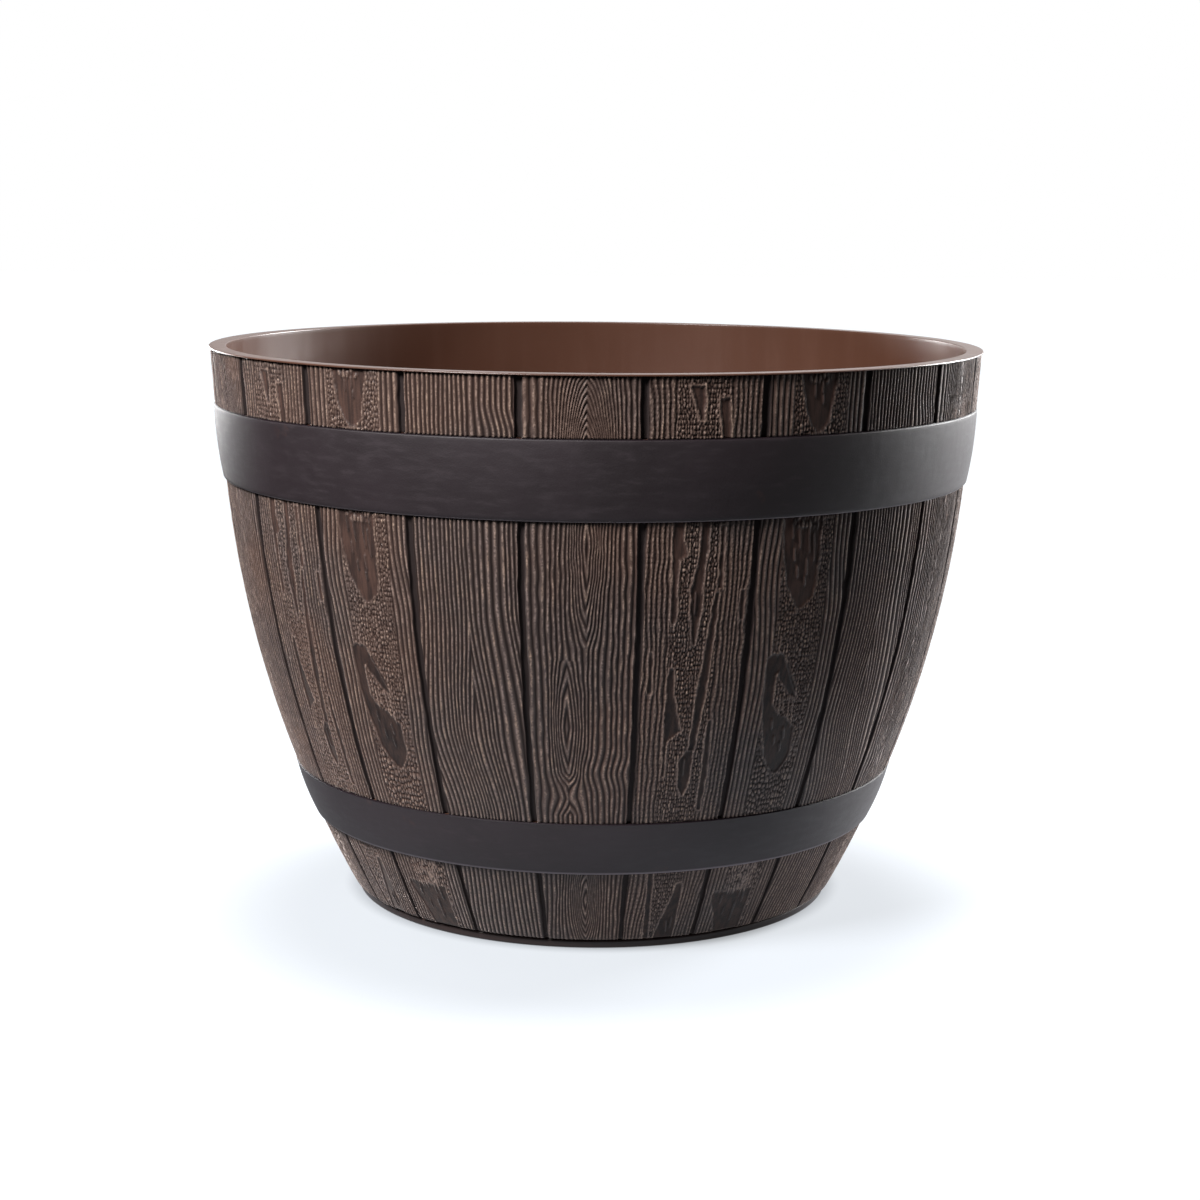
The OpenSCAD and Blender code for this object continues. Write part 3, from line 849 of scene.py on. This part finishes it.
plug = plug_mesh()
for i in range(len(DRAINS)):
    low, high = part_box(f"drain_plug_{i + 1}")
    piece = solid(f"plug_piece_{i + 1}", plug.copy())
    middle = (low + high) / 2
    piece.data.transform(Matrix.Translation((middle.x, middle.y, 0)))
    settle(piece, f"plug_{i + 1}", "plug_rubber", rubber, f"drain_plug_{i + 1}")

# Floor, light and camera. Lengths are in metres here.

# Where the backdrop is in reflections: behind the object and to its right
BEHIND = (0.6, 0.8, 0)

# The photograph's camera, fitted to the rim, the hoops and the foot: place, lens in mm, sideways
# shift, degrees that it looks down and roll in radians
CAMERA_AT, LENS, SHIFT, LOOK_DOWN, ROLL = (0, -1.2312, 0.3649), 71.94, 0.0050, 9.95, 0.008
LAMP_AWAY, LAMP_AIM_Z = 2.5, 0.15


def studio_floor():
    """A pale floor round the object, to take its shadow, with a painted shadow at the foot and round it,
    which turns white further off
    """
    mesh = bpy.data.meshes.new("studio_floor")
    reach = 8
    corners = [(x * reach, y * reach, 0) for x, y in ((-1, -1), (1, -1), (1, 1), (-1, 1))]
    mesh.from_pydata(corners, [], [(0, 1, 2, 3)])
    mesh.update()
    floor = solid("studio_floor", mesh)
    paint = Paint("studio_white")
    paint.tree.nodes.remove(paint.shader)
    length = paint.add("ShaderNodeVectorMath", operation="LENGTH")
    paint.link(paint.place, length.inputs[0])
    away = length.outputs["Value"]

    # What rays see: white to the camera, and in reflections where the backdrop is
    side = paint.add("ShaderNodeVectorMath", operation="DOT_PRODUCT")
    paint.link(paint.place, side.inputs[0])
    side.inputs[1].default_value = BEHIND
    toward = paint.math("DIVIDE", side.outputs["Value"], away)
    toward = paint.math("ADD", toward, paint.ramp(away, 0.6, 0.25, 0.0, 0.35))
    rays = paint.add("ShaderNodeLightPath")
    behind = paint.math("MULTIPLY", rays.outputs["Is Glossy Ray"], paint.ramp(toward, 0.2, 0.9))
    seen = paint.math("MAXIMUM", rays.outputs["Is Camera Ray"], rays.outputs["Is Transmission Ray"])
    seen = paint.math("MAXIMUM", seen, behind)

    # The white is dimmer at the foot, a painted contact shadow, and in a wider painted shadow round it,
    # on which the lamps' shadows also fall; both are bluish. Other rays see a faint glow near it.
    middle = paint.add("ShaderNodeVectorMath", operation="DISTANCE")
    paint.link(paint.place, middle.inputs[0])
    middle.inputs[1].default_value = (0, -0.05, 0)
    # Painted shadow: the white is dimmed to a bluish grey round the object, most just in front of it
    painted_shadow_pool = paint.ramp(middle.outputs["Value"], 0.14, 0.25, 0.68, 1.08)
    # Painted contact shadow: a ring at the foot where the white falls to 0.6
    white = paint.math("MULTIPLY", paint.ramp(away, 0.12, 0.132, 0.6, 1.0), painted_shadow_pool)
    near = paint.ramp(away, 0.42, 0.24, 0.0, 0.2)
    near = paint.math("MULTIPLY", paint.math("SUBTRACT", 1.0, seen), near)
    glow = paint.add("ShaderNodeEmission")
    glow.inputs["Color"].default_value = (0.93, 0.965, 1, 1)
    paint.link(paint.math("ADD", paint.math("MULTIPLY", seen, white), near), glow.inputs["Strength"])

    # What takes light and shadow
    colour = paint.mix(paint.ramp(away, 0.25, 0.5), linear(112, 116, 122), linear(40, 40, 40))
    diffuse = paint.add("ShaderNodeBsdfDiffuse")
    paint.link(colour, diffuse.inputs["Color"])
    both = paint.add("ShaderNodeAddShader")
    paint.link(diffuse.outputs[0], both.inputs[0])
    paint.link(glow.outputs[0], both.inputs[1])
    paint.link(both.outputs[0], paint.out.inputs["Surface"])
    floor.data.materials.append(paint.material)


def studio_world(strength):
    """White to the camera, and behind the object in reflections. As light, a dim fill."""
    world = bpy.data.worlds.new("studio")
    bpy.context.scene.world = world
    world.use_nodes = True
    tree = world.node_tree
    tree.nodes.clear()
    rays = tree.nodes.new("ShaderNodeLightPath")
    direction = tree.nodes.new("ShaderNodeVectorMath")
    direction.operation = "DOT_PRODUCT"
    tree.links.new(tree.nodes.new("ShaderNodeTexCoord").outputs["Generated"], direction.inputs[0])
    direction.inputs[1].default_value = BEHIND
    behind = tree.nodes.new("ShaderNodeMapRange")
    behind.interpolation_type = "SMOOTHSTEP"
    tree.links.new(direction.outputs["Value"], behind.inputs["Value"])
    behind.inputs["From Min"].default_value = 0.2
    behind.inputs["From Max"].default_value = 0.9

    def math_node(operation, a, b):
        node = tree.nodes.new("ShaderNodeMath")
        node.operation = operation
        tree.links.new(a, node.inputs[0])
        if isinstance(b, bpy.types.NodeSocket):
            tree.links.new(b, node.inputs[1])
        else:
            node.inputs[1].default_value = b
        return node.outputs[0]

    seen = math_node("MAXIMUM", rays.outputs["Is Camera Ray"], rays.outputs["Is Transmission Ray"])
    backdrop = math_node("MULTIPLY", rays.outputs["Is Glossy Ray"], behind.outputs[0])
    seen = math_node("MAXIMUM", seen, backdrop)
    light = tree.nodes.new("ShaderNodeBackground")
    light.inputs["Color"].default_value = (1, 1, 1, 1)
    tree.links.new(math_node("MAXIMUM", seen, strength), light.inputs["Strength"])
    out = tree.nodes.new("ShaderNodeOutputWorld")
    tree.links.new(light.outputs[0], out.inputs["Surface"])


def lamp(name, azimuth, elevation, level, size):
    """A round softbox. Azimuth 0 is in front, and at level 1 a surface facing it renders as written."""
    data = bpy.data.lights.new(name, "AREA")
    data.shape = "DISK"
    data.size = size
    data.energy = level * (math.pi * LAMP_AWAY) ** 2
    light = bpy.data.objects.new(name, data)
    bpy.context.scene.collection.objects.link(light)
    turn = Matrix.Rotation(math.radians(azimuth), 4, "Z")
    tip = Matrix.Rotation(math.radians(90 - elevation), 4, "X")
    aim = Matrix.Translation((0, 0, LAMP_AIM_Z))
    light.matrix_world = aim @ (turn @ tip) @ Matrix.Translation((0, 0, LAMP_AWAY))


def photo_camera():
    """The camera at the photograph's angle"""
    data = bpy.data.cameras.new("camera")
    data.lens = LENS
    data.sensor_width = 36
    data.shift_x = SHIFT
    camera = bpy.data.objects.new("camera", data)
    bpy.context.scene.collection.objects.link(camera)
    turn = Matrix.Rotation(math.radians(90 - LOOK_DOWN), 4, "X") @ Matrix.Rotation(ROLL, 4, "Z")
    camera.matrix_world = Matrix.Translation(CAMERA_AT) @ turn
    return camera


studio_floor()
studio_world(0.02)
lamp("key", -45, 45, 1.5, 0.9)
lamp("back_left", -145, 4, 0.8, 1.0)
lamp("back_right", 128, 18, 1.9, 1.0)
bpy.context.scene.camera = photo_camera()
bpy.context.scene.view_settings.view_transform = "Standard"
